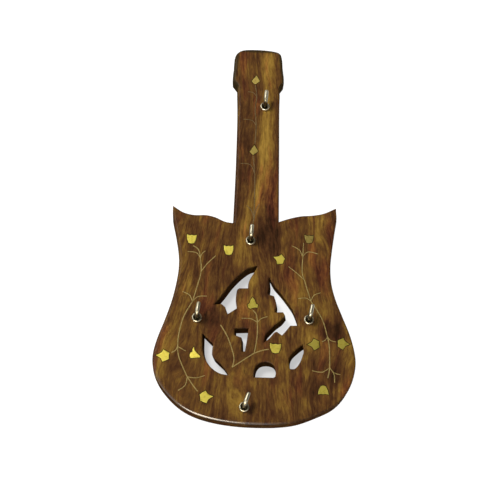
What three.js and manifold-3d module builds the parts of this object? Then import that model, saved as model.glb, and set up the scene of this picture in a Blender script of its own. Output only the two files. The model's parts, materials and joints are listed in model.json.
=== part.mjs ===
// Wall key holder in the outline of a sitar: one sheesham board with a pierced leaf motif,
// brass leaves and brass wire vines let into its face, and turned-up screw hooks with collars.
// Millimetres, +Z up along the neck. The back rests on a wall at y = 0 and the face looks along -Y.
// The origin is on the back, on the centre line, at the height where the neck meets the body.
import * as THREE from 'three';
import { mergeVertices } from 'three/addons/utils/BufferGeometryUtils.js';
import Module from 'manifold-3d';

const wasm = await Module();
wasm.setup();

// ---- driving dimensions ----
const BOARD_THICK = 10;
const FACE_Y = -BOARD_THICK;
const SAW_LEAN = 0.15;          // the openings drift this far to the right per mm towards the back
const INLAY_DEPTH = 1.0;
const INLAY_GAP = 0.3;          // filler around each inlay
const STEM_WIDTH = 0.62;
const TENDRIL_WIDTH = 0.52;
const WIRE_SAMPLES = 3;         // straight pieces between two given points of a vine
const WIRE_RADIUS = 1.3;        // hook wire
const HOOK_REACH = 9.5;         // face to the middle of the upturned arm
const HOOK_RISE = 7.0;          // middle of the shank to the top of the arm
const HOOK_BEND = 2.2;          // radius of the square bend
const HOOK_RINGS = 22;           // pieces along the hook wire
const SHANK_IN_WOOD = 7.8;
const PILOT_GAP = 0.2;          // pilot hole wider than the shank all round
const PILOT_SPARE = 0.3;        // and deeper
const COLLAR_RADIUS = 3.15;
const COLLAR_HEIGHT = 1.7;
const COLLAR_BORE_GAP = 0.2;    // collar bore wider than the wire all round
const COLLAR_LIFT = 0.1;
const COLLAR_DOME = [[2.2, 0.86], [2.85, 0.5], [COLLAR_RADIUS, 0.12]];  // radius, share of the height
const PLATE_LENGTH = 24;
const PLATE_WIDTH = 12;
const PLATE_THICK = 1.2;
const PLATE_Z = 111;
const KEYHOLE_RADIUS = 3.5;
const KEYHOLE_Z = 108.5;
const SLOT_WIDTH = 4.2;
const SLOT_TOP_Z = 115;
const POCKET_DEPTH = 6;
const POCKET_MARGIN = 1;        // room for the nail head round the keyhole
const PLATE_SCREW_Z = [101.8, 120.2];
const SCREW_RADIUS = 1.2;
const SCREW_HEAD_RADIUS = 2.3;
const SCREW_HEAD_DEPTH = 1.1;
const SCREW_HEAD_SUNK = 0.05;
const SCREW_LENGTH = 7.5;
const SCREW_POINT = 1.5;
const OVERSHOOT = 1;            // how far a cutting solid passes the surface it opens

const COLOURS = {
  sheesham: { color: 0x5f452a, roughness: 0.42, metalness: 0 },
  brass: { color: 0xcdbb52, roughness: 0.35, metalness: 1 },
  tarnished_brass: { color: 0x9a8148, roughness: 0.5, metalness: 1 },
  nickel: { color: 0xc9c6bb, roughness: 0.2, metalness: 1 },
  zinc_steel: { color: 0xa9abad, roughness: 0.4, metalness: 1 },
};

// ---- board outline, x across and z up, seen from the front ----
const NECK_RIGHT = [[14.3, 1.2], [14.4, 50], [14.7, 91], [15.0, 97.6], [17.4, 101.6], [17.3, 106.5]];
const HEAD_TOP = [
  [16.6, 113], [16.1, 120.6], [13.8, 125], [4, 126.6], [-8.5, 126.2], [-13.4, 123.9], [-15.6, 119.5],
  [-15.9, 112.5],
];
const NECK_LEFT = [[-16.5, 107], [-16.3, 102], [-13.4, 98], [-13.0, 85], [-13.1, 50], [-14.3, -0.6]];
const LEFT_HORN = [[-19.5, 0.2], [-25.5, 2.9], [-31.5, 4.2], [-38.7, 4.0], [-45.5, 5.5], [-52.3, 9.2]];
const BODY_SIDES = [
  [-52.0, 2], [-49.8, -8], [-47.8, -19], [-47.1, -29], [-47.8, -38.5], [-50.3, -52], [-54.3, -65.5],
  [-58.2, -77], [-60.3, -87], [-59.6, -95.5], [-56.0, -104], [-49.7, -112], [-42, -118.5], [-33, -122.8],
  [-22, -125.6], [-10, -127.1], [2, -127.5], [14, -127.1], [25, -125.4], [36, -121.3], [46.5, -116],
  [53.4, -109], [57.9, -100.5], [60.2, -91], [59.9, -82.5], [57.3, -71.5], [53.0, -60], [49.0, -49],
  [46.7, -39], [46.3, -28], [47.5, -17], [49.3, -5], [50.7, 4], [50.2, 11.2],
];
const RIGHT_HORN = [[42, 7.8], [35, 6.3], [28, 5.6], [20.5, 3.6], [14.3, 1.2]];

// ---- pierced motif: a lobed leaf left standing inside a ring of openings, drawn on the face ----
// An opening is a chain of runs from its start: a smooth run is one flowing curve through its
// points, and any other run is straight from point to point.
const OPENINGS = [
  {
    name: 'upper_left',
    start: [-24.9, -54.9],
    runs: [
      { smooth: true, to: [[-19.6, -47.9], [-15.2, -41.5], [-9.9, -35.5], [-4.6, -31.2], [1.0, -29.3]] },
      { to: [[-1.5, -34.2], [-3.5, -37.8], [-4.5, -40.7], [-4.7, -43.8], [-10.0, -44.0]] },
      { smooth: true, to: [[-11.4, -45.6], [-12.0, -51.5], [-11.3, -56.9]] },
      { to: [[-16.7, -60.7], [-18.3, -56.3], [-20.5, -54.6]] },
    ],
  },
  {
    name: 'right',
    start: [8.1, -36.5],
    runs: [
      { smooth: true, to: [[10.6, -41.2], [14.8, -46.2], [19.3, -52.3], [22.6, -57.8], [25.6, -66.6]] },
      { to: [[21.1, -67.1], [16.1, -73.0], [13.0, -71.1]] },
      { smooth: true, to: [[11.3, -71.8], [8.6, -75.0], [5.3, -77.8]] },
      { smooth: true, to: [[6.2, -73.6], [8.2, -70.9], [11.8, -67.0], [15.4, -64.0], [17.9, -60.6]] },
      { to: [[16.8, -58.7], [11.9, -58.6]] },
      { smooth: true, to: [[12.6, -55.5], [12.5, -52.4], [11.2, -48.6]] },
      { to: [[7.6, -47.3], [8.4, -42.0]] },
    ],
  },
  {
    name: 'centre',
    start: [-12.3, -69.9],
    runs: [
      { to: [[-4.0, -69.4], [-5.1, -78.0], [-6.0, -83.6], [-7.7, -83.7], [-8.1, -75.4], [-12.2, -73.7]] },
    ],
  },
  {
    name: 'lower_left',
    start: [-31.3, -73.7],
    runs: [
      { to: [[-25.0, -79.8]] },
      {
        smooth: true,
        to: [[-25.4, -84.0], [-25.1, -87.2], [-22.3, -90.3], [-18.7, -93.7], [-15.6, -98.3]],
      },
      {
        smooth: true,
        to: [[-20.6, -97.4], [-25.6, -94.2], [-29.0, -89.4], [-31.0, -83.5], [-31.3, -73.7]],
      },
    ],
  },
  {
    name: 'lower_centre',
    start: [-0.5, -99.2],
    runs: [
      {
        smooth: true,
        to: [[-0.4, -95.8], [0.7, -92.6], [2.9, -90.6], [6.3, -90.0], [9.6, -90.7], [11.6, -92.8],
          [12.4, -96.2]],
      },
      { to: [[12.0, -98.6], [11.0, -99.2]] },
    ],
  },
  {
    name: 'lower_right',
    start: [28.5, -78.9],
    runs: [
      { smooth: true, to: [[24.9, -81.8], [21.3, -85.6], [20.2, -89.4], [20.9, -93.6]] },
      { smooth: true, to: [[24.0, -93.2], [27.0, -89.0], [28.9, -83.6]] },
    ],
  },
];

// ---- brass leaves: middle, direction of the tip clockwise from up, size across and along ----
// Outlines are in halves of the leaf's width and length.
const LEAF_OUTLINES = {
  ivy: [[0, 1], [0.5, 0.24], [1, -0.02], [0.8, -0.38], [0.48, -0.88], [0, -0.82], [-0.48, -0.88],
    [-0.8, -0.38], [-1, -0.02], [-0.5, 0.24]],
  kite: [[0.1, 1], [0.62, 0.3], [1, -0.2], [0.45, -0.62], [-0.1, -1], [-0.55, -0.72], [-0.95, -0.35],
    [-0.45, 0.3]],
  bud: [[0, 0.9], [0.4, 0.78], [0.92, 0.96], [0.88, 0.1], [0.56, -0.85], [0, -1], [-0.56, -0.85],
    [-0.88, 0.1], [-0.95, 1], [-0.4, 0.78]],
  trefoil: [[0, 0.95], [0.38, 0.5], [0.58, -0.1], [1, -0.3], [0.86, -0.8], [0.3, -0.76], [-0.1, -0.84],
    [-0.5, -1], [-0.84, -0.72], [-1, -0.3], [-0.6, 0], [-0.38, 0.5]],
  spade: [[-0.3, 1], [-0.08, 0.35], [0.4, -0.15], [1, -0.6], [0.95, -0.82], [-0.85, -1], [-1, -0.72],
    [-0.95, -0.05], [-0.52, 0.12], [-0.5, 0.6]],
  bell: [[0, 0.94], [0.5, 0.7], [0.82, 0], [1, -0.92], [0.4, -0.82], [0, -0.88], [-0.4, -0.82],
    [-1, -0.92], [-0.82, 0], [-0.5, 0.7]],
};
const LEAVES = [
  { name: 'leaf_headstock', kind: 'kite', at: [-1.4, 102.6], turn: 4, size: [5.4, 6.9], worn: true },
  { name: 'leaf_neck', kind: 'kite', at: [-2.1, 50.4], turn: 0, size: [5.4, 7.2], worn: true },
  { name: 'leaf_left_shoulder', kind: 'bud', at: [-39.9, -12.9], turn: 2, size: [6.3, 6.0] },
  { name: 'leaf_left_inner', kind: 'bud', at: [-16.8, -19.5], turn: -2, size: [6.2, 6.4] },
  { name: 'leaf_right_inner', kind: 'ivy', at: [14.3, -24.4], turn: -68, size: [7.0, 7.4] },
  { name: 'leaf_right_shoulder', kind: 'bud', at: [33.0, -10.4], turn: 0, size: [5.8, 5.4], worn: true },
  { name: 'leaf_centre', kind: 'trefoil', at: [-1.6, -53.4], turn: -2, size: [6.3, 7.6] },
  { name: 'leaf_centre_right', kind: 'bud', at: [12.3, -81.4], turn: 2, size: [7.0, 6.0] },
  { name: 'leaf_left_rim', kind: 'ivy', at: [-54.2, -87.8], turn: -88, size: [7.4, 8.4] },
  { name: 'leaf_left_lower', kind: 'spade', at: [-35.3, -85.4], turn: 0, size: [6.0, 6.9] },
  { name: 'leaf_left_bottom', kind: 'ivy', at: [-28.0, -111.9], turn: 84, size: [7.4, 8.2] },
  { name: 'leaf_right_lower_inner', kind: 'ivy', at: [35.2, -78.3], turn: -92, size: [7.2, 7.6] },
  { name: 'leaf_right_rim', kind: 'ivy', at: [52.9, -77.4], turn: 92, size: [7.2, 7.6] },
  { name: 'leaf_right_bottom', kind: 'bell', at: [40.5, -105.9], turn: 0, size: [6.2, 5.8] },
];

// ---- brass wire vines: each is one connected run of stems and tendrils ----
const VINES = [
  {
    name: 'vine_left',
    stems: [
      [[-38.6, -17.4], [-35.4, -19.8], [-34.1, -25], [-33.3, -34], [-35.4, -43.7], [-38, -53.7]],
      [
        [-38, -53.7], [-42.4, -62.2], [-44.7, -70.2], [-45.7, -79], [-45.2, -86.7], [-42.7, -93.3],
        [-39.4, -100.2],
      ],
      [[-39.4, -100.2], [-36.2, -104.8], [-33.2, -108.6]],
    ],
    tendrils: [
      [[-34.1, -25], [-36.6, -21.9], [-41.8, -21.3]],
      [[-34.1, -25], [-33.1, -22.4], [-31.2, -20.6]],
      [[-33.3, -34], [-29.5, -28.6], [-24.8, -23.6]],
      [[-38, -53.7], [-39.8, -49.6], [-44, -47.5]],
      [[-38, -53.7], [-34.8, -50.4], [-29.6, -49.9]],
      [[-45.8, -82.1], [-46.8, -84.3], [-49, -85.7]],
      [[-45.8, -82.1], [-43.6, -83.1], [-41, -84.6]],
      [[-39.4, -100.2], [-34.2, -100.7], [-29.3, -99.2]],
      [[-39.4, -100.2], [-40.4, -105.2], [-44.3, -108.4]],
    ],
  },
  {
    name: 'vine_right',
    stems: [
      [[29.6, -13.2], [29, -22], [28.6, -32.4], [29.9, -37.6], [31.7, -44], [33.7, -51]],
      [[33.7, -51], [37.6, -57.2], [41, -63.8], [43.5, -73.3]],
      [[43.5, -73.3], [44.5, -80], [44.5, -92.3], [43.3, -98.6]],
    ],
    tendrils: [
      [[29, -22], [26.6, -17.6], [22.3, -15.3]],
      [[29, -22], [32.4, -18.9], [38.4, -20.1]],
      [[29.9, -37.6], [25.4, -33.4], [20.3, -29.2]],
      [[33.7, -51], [30.6, -49.2], [26.2, -49.7]],
      [[33.7, -51], [35.8, -47.2], [39.5, -45.6]],
      [[43.5, -73.3], [42.2, -75.4], [40.2, -76.4]],
      [[43.5, -73.3], [45.2, -75.5], [48.2, -76.3]],
      [[44.5, -92.3], [40, -95.2], [34.2, -94.5]],
      [[44.5, -92.3], [47, -95.4], [50.6, -96.4]],
      [[44.5, -92.3], [47, -96.4], [47.3, -101.2]],
    ],
  },
  {
    name: 'vine_centre',
    stems: [
      [[-1.3, -58.2], [0.6, -60.6], [1.4, -66.6], [1.2, -75.4], [-0.4, -84.9]],
      [[-13.1, -93.6], [-9.2, -90.9], [-5, -87.9], [-0.4, -84.9], [4.2, -83], [8.1, -82.1]],
      [[-20.6, -68], [-16.6, -74.6], [-13.4, -83.2], [-12.2, -89], [-13.1, -93.6]],
    ],
    tendrils: [
      [[1.3, -65.6], [-2.6, -63.4], [-8, -63.3]],
      [[1.3, -65.6], [3.6, -63.2], [7.2, -61.8]],
    ],
  },
  {
    name: 'vine_neck_upper',
    worn: true,
    stems: [[[-1.7, 98.4], [-0.6, 90], [-1.6, 80.5], [-0.8, 68.5], [-1.4, 55]]],
    tendrils: [
      [[-0.6, 90], [-3, 92.8], [-6.4, 93.3]],
      [[-0.8, 68.5], [-3.6, 72], [-8.9, 72.6]],
    ],
  },
  {
    name: 'vine_neck_lower',
    worn: true,
    stems: [[[-2.4, 45.8], [-1.4, 33.5], [-1.2, 19], [-1.6, 4], [-2.6, -7.6]]],
    tendrils: [
      [[-1.4, 33.5], [-4.2, 39.8], [-10.2, 40.5]],
      [[-1.4, 1], [-3, 7.4], [-6, 11.1]],
      [[-1.4, 1], [-0.4, 7.4], [1.7, 12.4]],
    ],
  },
];

// ---- screw hooks: middle of the shank on the face, and how far each is turned clockwise ----
const HOOKS = [
  { name: 'hook_headstock', at: [4.7, 82.2], turn: 4 },
  { name: 'hook_shoulder', at: [-3.5, -12.9], turn: 4 },
  { name: 'hook_left', at: [-35.0, -63.9], turn: 8 },
  { name: 'hook_right', at: [32.3, -63.2], turn: 12 },
  { name: 'hook_bottom', at: [-5.9, -117.4], turn: 20 },
];

// ---- helpers ----
function solid(geometry) {
  geometry.deleteAttribute('normal');
  geometry.deleteAttribute('uv');
  const merged = mergeVertices(geometry);
  return new wasm.Manifold(new wasm.Mesh({
    numProp: 3,
    vertProperties: new Float32Array(merged.attributes.position.array),
    triVerts: new Uint32Array(merged.index.array),
  }));
}

function geometryOf(manifold) {
  const { vertProperties, triVerts } = manifold.getMesh();
  const geometry = new THREE.BufferGeometry();
  geometry.setAttribute('position', new THREE.BufferAttribute(new Float32Array(vertProperties), 3));
  geometry.setIndex(new THREE.BufferAttribute(new Uint32Array(triVerts), 1));
  geometry.computeVertexNormals();
  return geometry;
}

function place(shape, points, smooth) {
  if (smooth) shape.splineThru(points.map(([x, z]) => new THREE.Vector2(x, z)));
  else points.forEach(([x, z]) => shape.lineTo(x, z));
}

// A flat shape drawn in x and z becomes a slab that runs from yBack forward to yFront.
function slabGeometry(shape, yBack, yFront, curveSegments = 3) {
  const geometry = new THREE.ExtrudeGeometry(shape, {
    depth: yBack - yFront, bevelEnabled: false, curveSegments,
  });
  return geometry.rotateX(Math.PI / 2).translate(0, yBack, 0);
}

function slab(shape, yBack, yFront, curveSegments) {
  return solid(slabGeometry(shape, yBack, yFront, curveSegments));
}

// A turned piece whose axis runs along Y at (x, z); the profile is [radius, y] pairs.
function turned(profile, x, z, sides = 16) {
  const geometry = new THREE.LatheGeometry(profile.map(([r, y]) => new THREE.Vector2(r, y)), sides);
  return solid(geometry.translate(x, 0, z));
}

function polygon(points) {
  return new THREE.Shape(points.map(([x, z]) => new THREE.Vector2(x, z)));
}

// ---- board ----
function boardShape() {
  const shape = new THREE.Shape();
  shape.moveTo(...NECK_RIGHT[0]);
  place(shape, NECK_RIGHT.slice(1), false);
  place(shape, HEAD_TOP, true);
  place(shape, NECK_LEFT, false);
  place(shape, LEFT_HORN, true);
  place(shape, BODY_SIDES, true);
  place(shape, RIGHT_HORN, true);
  return shape;
}

// The fretsaw leaned a little, so every opening runs through the board at the same slant.
function openingCut({ start, runs }) {
  const shape = new THREE.Shape();
  shape.moveTo(...start);
  runs.forEach((run) => place(shape, run.to, run.smooth));
  const slant = new THREE.Matrix4().makeShear(0, 0, SAW_LEAN, 0, 0, 0);
  const geometry = slabGeometry(shape, OVERSHOOT - FACE_Y, -OVERSHOOT).applyMatrix4(slant);
  return solid(geometry.translate(0, FACE_Y, 0));
}

// ---- inlays ----
function leafShape({ kind, at, turn, size }, grow = 0) {
  const angle = -THREE.MathUtils.degToRad(turn);
  const [halfWidth, halfLength] = size.map((length) => length / 2 + grow);
  const middle = new THREE.Vector2(...at);
  const points = LEAF_OUTLINES[kind].map(([across, along]) => {
    const spot = new THREE.Vector2(at[0] + across * halfWidth, at[1] + along * halfLength);
    return spot.rotateAround(middle, angle).toArray();
  });
  return polygon(points);
}

// A strip of even width along a curve through the points, with pointed ends.
function stripShape(points, width) {
  const curve = new THREE.SplineCurve(points.map(([x, z]) => new THREE.Vector2(x, z)));
  const count = (points.length - 1) * WIRE_SAMPLES;
  const left = [];
  const right = [];
  for (let i = 0; i <= count; i += 1) {
    const spot = curve.getPoint(i / count);
    const along = curve.getTangent(i / count);
    const side = new THREE.Vector2(-along.y, along.x).multiplyScalar(width / 2);
    left.push([spot.x + side.x, spot.y + side.y]);
    right.unshift([spot.x - side.x, spot.y - side.y]);
  }
  const first = curve.getPoint(0).addScaledVector(curve.getTangent(0), -width / 2);
  const last = curve.getPoint(1).addScaledVector(curve.getTangent(1), width / 2);
  return polygon([[first.x, first.y], ...left, [last.x, last.y], ...right]);
}

// An inlay fills the face to its depth; with grow it is the wider and deeper recess that holds it.
function inlaySlab(shape, grow) {
  const front = grow > 0 ? FACE_Y - OVERSHOOT : FACE_Y;
  return slab(shape, FACE_Y + INLAY_DEPTH + grow, front);
}

function vineSolid({ stems, tendrils }, grow = 0) {
  const strips = [
    ...stems.map((points) => stripShape(points, STEM_WIDTH + 2 * grow)),
    ...tendrils.map((points) => stripShape(points, TENDRIL_WIDTH + 2 * grow)),
  ];
  return strips.map((shape) => inlaySlab(shape, grow)).reduce((all, strip) => all.add(strip));
}

function leafSolid(leaf, grow = 0) {
  return inlaySlab(leafShape(leaf, grow), grow);
}

// ---- hooks: drawn at the origin with the shank along Y and the arm up, then turned and moved ----
class HookPath extends THREE.CurvePath {
  constructor() {
    super();
    const arm = FACE_Y - HOOK_REACH;
    this.add(new THREE.LineCurve3(
      new THREE.Vector3(0, FACE_Y + SHANK_IN_WOOD, 0),
      new THREE.Vector3(0, arm + HOOK_BEND, 0),
    ));
    this.add(new THREE.QuadraticBezierCurve3(
      new THREE.Vector3(0, arm + HOOK_BEND, 0),
      new THREE.Vector3(0, arm, 0),
      new THREE.Vector3(0, arm, HOOK_BEND),
    ));
    this.add(new THREE.LineCurve3(
      new THREE.Vector3(0, arm, HOOK_BEND),
      new THREE.Vector3(0, arm, HOOK_RISE),
    ));
  }
}

function hookGeometry() {
  const section = new THREE.Shape().absarc(0, 0, WIRE_RADIUS, 0, 2 * Math.PI, false);
  return new THREE.ExtrudeGeometry(section, {
    steps: HOOK_RINGS, curveSegments: 6, extrudePath: new HookPath(),
  });
}

function collarGeometry() {
  const foot = FACE_Y - COLLAR_LIFT;
  const inner = WIRE_RADIUS + COLLAR_BORE_GAP;
  const dome = COLLAR_DOME.map(([radius, share]) => [radius, foot - share * COLLAR_HEIGHT]);
  const profile = [
    [inner, foot], [inner, foot - COLLAR_HEIGHT], ...dome, [COLLAR_RADIUS, foot], [inner, foot],
  ];
  return new THREE.LatheGeometry(profile.map(([r, y]) => new THREE.Vector2(r, y)), 24);
}

function pilotHole({ at }) {
  const radius = WIRE_RADIUS + PILOT_GAP;
  const bottom = FACE_Y + SHANK_IN_WOOD + PILOT_SPARE;
  const top = FACE_Y - OVERSHOOT;
  return turned([[0, top], [radius, top], [radius, bottom], [0, bottom]], ...at);
}

// ---- hanging plate on the back ----
function stadium(halfWidth, zLow, zHigh) {
  const shape = new THREE.Shape();
  shape.absarc(0, zHigh - halfWidth, halfWidth, 0, Math.PI, false);
  shape.absarc(0, zLow + halfWidth, halfWidth, Math.PI, 2 * Math.PI, false);
  shape.closePath();
  return shape;
}

function countersink(z, grow) {
  const head = SCREW_HEAD_RADIUS + grow;
  const shank = SCREW_RADIUS + grow;
  const tip = -SCREW_LENGTH - grow;
  const top = grow > 0 ? OVERSHOOT : -SCREW_HEAD_SUNK;
  const profile = [
    [0, top], [head, top], [head, -SCREW_HEAD_SUNK], [shank, -SCREW_HEAD_DEPTH],
    [shank, tip + SCREW_POINT], [0, tip],
  ];
  return turned(profile.reverse(), 0, z);
}

function plateSolid(grow = 0) {
  const half = PLATE_LENGTH / 2 + grow;
  const outline = stadium(PLATE_WIDTH / 2 + grow, PLATE_Z - half, PLATE_Z + half);
  return slab(outline, grow > 0 ? OVERSHOOT : 0, -PLATE_THICK - grow, 8);
}

function keyhole() {
  const round = new THREE.Shape().absarc(0, KEYHOLE_Z, KEYHOLE_RADIUS, 0, 2 * Math.PI, false);
  const slot = stadium(SLOT_WIDTH / 2, KEYHOLE_Z - SLOT_WIDTH / 2, SLOT_TOP_Z + SLOT_WIDTH / 2);
  const through = -PLATE_THICK - OVERSHOOT;
  return slab(round, OVERSHOOT, through, 8).add(slab(slot, OVERSHOOT, through, 6));
}

function keyholePocket() {
  const radius = KEYHOLE_RADIUS + POCKET_MARGIN;
  const outline = stadium(radius, KEYHOLE_Z - radius, SLOT_TOP_Z + KEYHOLE_RADIUS);
  return slab(outline, OVERSHOOT, -POCKET_DEPTH, 8);
}

function boardSolid() {
  const cuts = [
    ...OPENINGS.map(openingCut),
    ...LEAVES.map((leaf) => leafSolid(leaf, INLAY_GAP)),
    ...VINES.map((vine) => vineSolid(vine, INLAY_GAP)),
    ...HOOKS.map(pilotHole),
    ...PLATE_SCREW_Z.map((z) => countersink(z, INLAY_GAP)),
    plateSolid(INLAY_GAP),
    keyholePocket(),
  ];
  return cuts.reduce((board, cut) => board.subtract(cut), slab(boardShape(), 0, FACE_Y));
}

// ---- assembly ----
const keyHolder = new THREE.Group();

function add(name, geometry, finish, parent = keyHolder) {
  const mesh = new THREE.Mesh(geometry, new THREE.MeshStandardMaterial(COLOURS[finish]));
  mesh.name = name;
  parent.add(mesh);
  return mesh;
}

add('board', geometryOf(boardSolid()), 'sheesham');

for (const leaf of LEAVES) {
  add(leaf.name, geometryOf(leafSolid(leaf)), leaf.worn ? 'tarnished_brass' : 'brass');
}

for (const vine of VINES) {
  add(vine.name, geometryOf(vineSolid(vine)), vine.worn ? 'tarnished_brass' : 'brass');
}

for (const hook of HOOKS) {
  const mount = new THREE.Group();
  mount.position.set(hook.at[0], 0, hook.at[1]);
  mount.rotation.y = THREE.MathUtils.degToRad(hook.turn);
  keyHolder.add(mount);
  add(hook.name, hookGeometry(), 'nickel', mount);
  add(`${hook.name}_collar`, collarGeometry(), 'nickel', mount);
}

const screwHoles = PLATE_SCREW_Z.map((z) => countersink(z, INLAY_GAP));
const plate = [keyhole(), ...screwHoles].reduce((left, cut) => left.subtract(cut), plateSolid());
add('hanging_plate', geometryOf(plate), 'zinc_steel');
PLATE_SCREW_Z.forEach((z, index) => {
  add(`hanging_plate_screw_${index + 1}`, geometryOf(countersink(z, 0)), 'zinc_steel');
});

export default keyHolder;
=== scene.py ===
# Looks of a wall key holder in the outline of a sitar: a lacquered sheesham board with a pierced
# leaf motif, brass leaves set in black lac, vines of brass wire, and nickel screw hooks.
# Metres, +Z up along the neck; the back is at y = 0 and the face looks along -Y.
import json
import math

import bmesh
import bpy
from mathutils import Matrix, Vector
from mathutils.geometry import interpolate_bezier


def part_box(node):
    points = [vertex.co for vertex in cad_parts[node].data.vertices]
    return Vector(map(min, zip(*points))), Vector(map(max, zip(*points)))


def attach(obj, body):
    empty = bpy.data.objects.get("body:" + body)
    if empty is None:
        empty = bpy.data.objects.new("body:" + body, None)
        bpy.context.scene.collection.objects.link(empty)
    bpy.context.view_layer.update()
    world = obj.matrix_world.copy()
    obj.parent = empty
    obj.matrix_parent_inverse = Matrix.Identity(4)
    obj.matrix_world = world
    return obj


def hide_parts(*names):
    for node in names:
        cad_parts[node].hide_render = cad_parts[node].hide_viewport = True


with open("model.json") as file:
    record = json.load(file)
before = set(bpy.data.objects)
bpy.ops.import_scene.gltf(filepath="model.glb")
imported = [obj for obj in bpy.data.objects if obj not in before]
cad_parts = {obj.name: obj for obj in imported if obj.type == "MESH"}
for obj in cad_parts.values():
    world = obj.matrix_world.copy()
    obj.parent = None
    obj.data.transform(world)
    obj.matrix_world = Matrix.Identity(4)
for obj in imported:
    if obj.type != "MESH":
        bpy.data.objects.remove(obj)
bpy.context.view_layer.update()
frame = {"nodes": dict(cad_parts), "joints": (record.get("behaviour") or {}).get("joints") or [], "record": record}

MM = 0.001
TINY = 0.01 * MM
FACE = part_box("board")[0].y
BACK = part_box("board")[1].y
ROOT = "wall_board"

# ---- sizes of what is finer than the CAD model ----
FRONT_ROUND = 1.9 * MM         # worn front edge of the board
BACK_ROUND = 0.7 * MM
OPENING_ROUND = 1.0 * MM
OPENING_BACK_ROUND = 0.3 * MM
TIP_FRONT_ROUND = 0.12 * MM    # what is left of the rounds at a sharp tip
TIP_BACK_ROUND = 0.10 * MM
SAW_LEAN = 0.15                # the openings drift to the right by this share of their depth
OUTLINE_INSET = 0.03 * MM      # keeps the smoothed outline inside the CAD model's
LEAF_GAP = 0.45 * MM           # black lac round each leaf
WIRE_GAP = 0.01 * MM           # the wires are hammered in with hardly a gap
INLAY_ROUND = 0.1 * MM
TIP_INLAY_ROUND = 0.03 * MM
LEAF_WORN_BAND = 0.5 * MM      # polished band along a leaf's rim
TIP_WORN_BAND = 0.08 * MM
INLAY_THICK = 1.0 * MM
LAC_SUNK = 0.05 * MM           # the lac lies this far under the face
LAC_BEHIND = 0.28 * MM         # and reaches this far behind the leaf
RECESS_SPARE = 0.3 * MM        # every recess is this much deeper than what lies in it
POCKET_FLOOR = -6.0 * MM       # floor of the pocket behind the keyhole plate
WIRE_RADIUS = 1.3 * MM         # hook wire
HOOK_BEND = 2.2 * MM
HOOK_END_ROUND = 0.9 * MM
ARM_TAPER = 0.07               # share by which a hook's arm narrows towards its end
HOOK_HOLE_GAP = 0.15 * MM
HOOK_HOLE_DEPTH = 8.1 * MM
ARM_CLEAR = 2.5 * MM           # what lies further than this from a shank's axis is the hook's arm
THREAD_PITCH = 1.1 * MM
THREAD_CORE = 0.98 * MM
THREAD_CREST = 1.34 * MM
THREAD_RIDGE = 0.32            # half width of the ridge as a share of the pitch
THREAD_STEPS = 7               # rings in each turn of a thread
THREAD_FADES = (1.2 * MM, 0.8 * MM)    # lengths over which a thread fades at its start and end
BARE_SHANK = 0.6 * MM          # unthreaded wire between the face and a hook's thread
PLATE_ROUND = 0.15 * MM
PLATE_SCREW_HOLE = 1.4 * MM
PLATE_SCREW_THREAD = 0.85      # its thread is thinner than a hook's by this factor
CUT_OVER = MM                  # cutters start this far outside what they cut

# ---- how long the chords of refined outlines are ----
BOARD_STEP = 1.2 * MM
OPENING_STEP = 0.8 * MM
RECESS_STEP = 1.0 * MM
LEAF_STEP = 0.5 * MM
VINE_STEP = 0.8 * MM
VINE_LEAST_CHORD = 0.3 * MM    # shorter chords of the CAD vines are dropped
PLATE_STEP = 0.4 * MM
WALL_STEP = 2.0 * MM

# ---- what counts as a corner, how corners are moved, and where shading breaks ----
SHARP_TURN = math.radians(30)
TIP_TURN = math.radians(35)
RIM_GROWTH = 0.25              # a rim widens by this share of the way from a tip
MITRE_LEAST = 0.5              # keeps a moved corner from running far out
SMOOTH_BELOW = math.radians(35)
HOOK_SMOOTH_BELOW = math.radians(50)

# ---- camera: the photograph's viewing angle ----
AIM = Vector((-3.7, -10.0, -19.0)) * MM
VIEW_AZIMUTH = math.radians(-3.0)
VIEW_ELEVATION = math.radians(-22.0)
VIEW_ROLL = math.radians(0.8)
VIEW_DISTANCE = 0.620
LENS = 72.39

# ---- the room: a white wall at the board's back and a floor far below ----
WALL_DEPTH = BACK + 0.3 * MM
WALL_HALF = 1.6
WALL_UNDER_BOARD = 1.2 * MM    # how far the wall runs on behind the board's outline
WALL_PAST_OPENING = 0.8 * MM   # and how far behind the wood round an opening
RIGHT_OPENING = 4              # the wall behind this one glows brightest, as painted light
FLOOR_Z = -1.0
FLOOR_HALF = 4.0


# ======================================================================================
# Outlines: lists of 2D points (x, z), with the material on the left
# ======================================================================================
def flat_loops(node, depth):
    """The outlines of a CAD node's flat faces at y = depth, seen from the front."""
    bm = bmesh.new()
    bm.from_mesh(frame["nodes"][node].data)
    bmesh.ops.remove_doubles(bm, verts=bm.verts, dist=TINY)
    flat = [face for face in bm.faces if all(abs(v.co.y - depth) < TINY for v in face.verts)]
    among = set(flat)
    following = {}
    for face in flat:
        for corner in face.loops:
            if corner.link_loop_radial_next.face not in among:
                following[corner.vert] = corner.link_loop_next.vert
    faces_back = bool(flat) and flat[0].normal.y > 0
    loops = []
    while following:
        vert = next(iter(following))
        loop = []
        while vert in following:
            loop.append(Vector((vert.co.x, vert.co.z)))
            vert = following.pop(vert)
        loops.append(loop[::-1] if faces_back else loop)
    bm.free()
    return loops


def longest(loops):
    """The outline with the greatest length."""
    return max(loops, key=lambda loop: sum((a - b).length for a, b in zip(loop, loop[1:])))


def without_slivers(loop, least):
    """The outline without points that nearly fall together."""
    kept = []
    for point in loop:
        if not kept or (point - kept[-1]).length > least:
            kept.append(point)
    while (kept[0] - kept[-1]).length <= least:
        kept.pop()
    return kept


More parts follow.
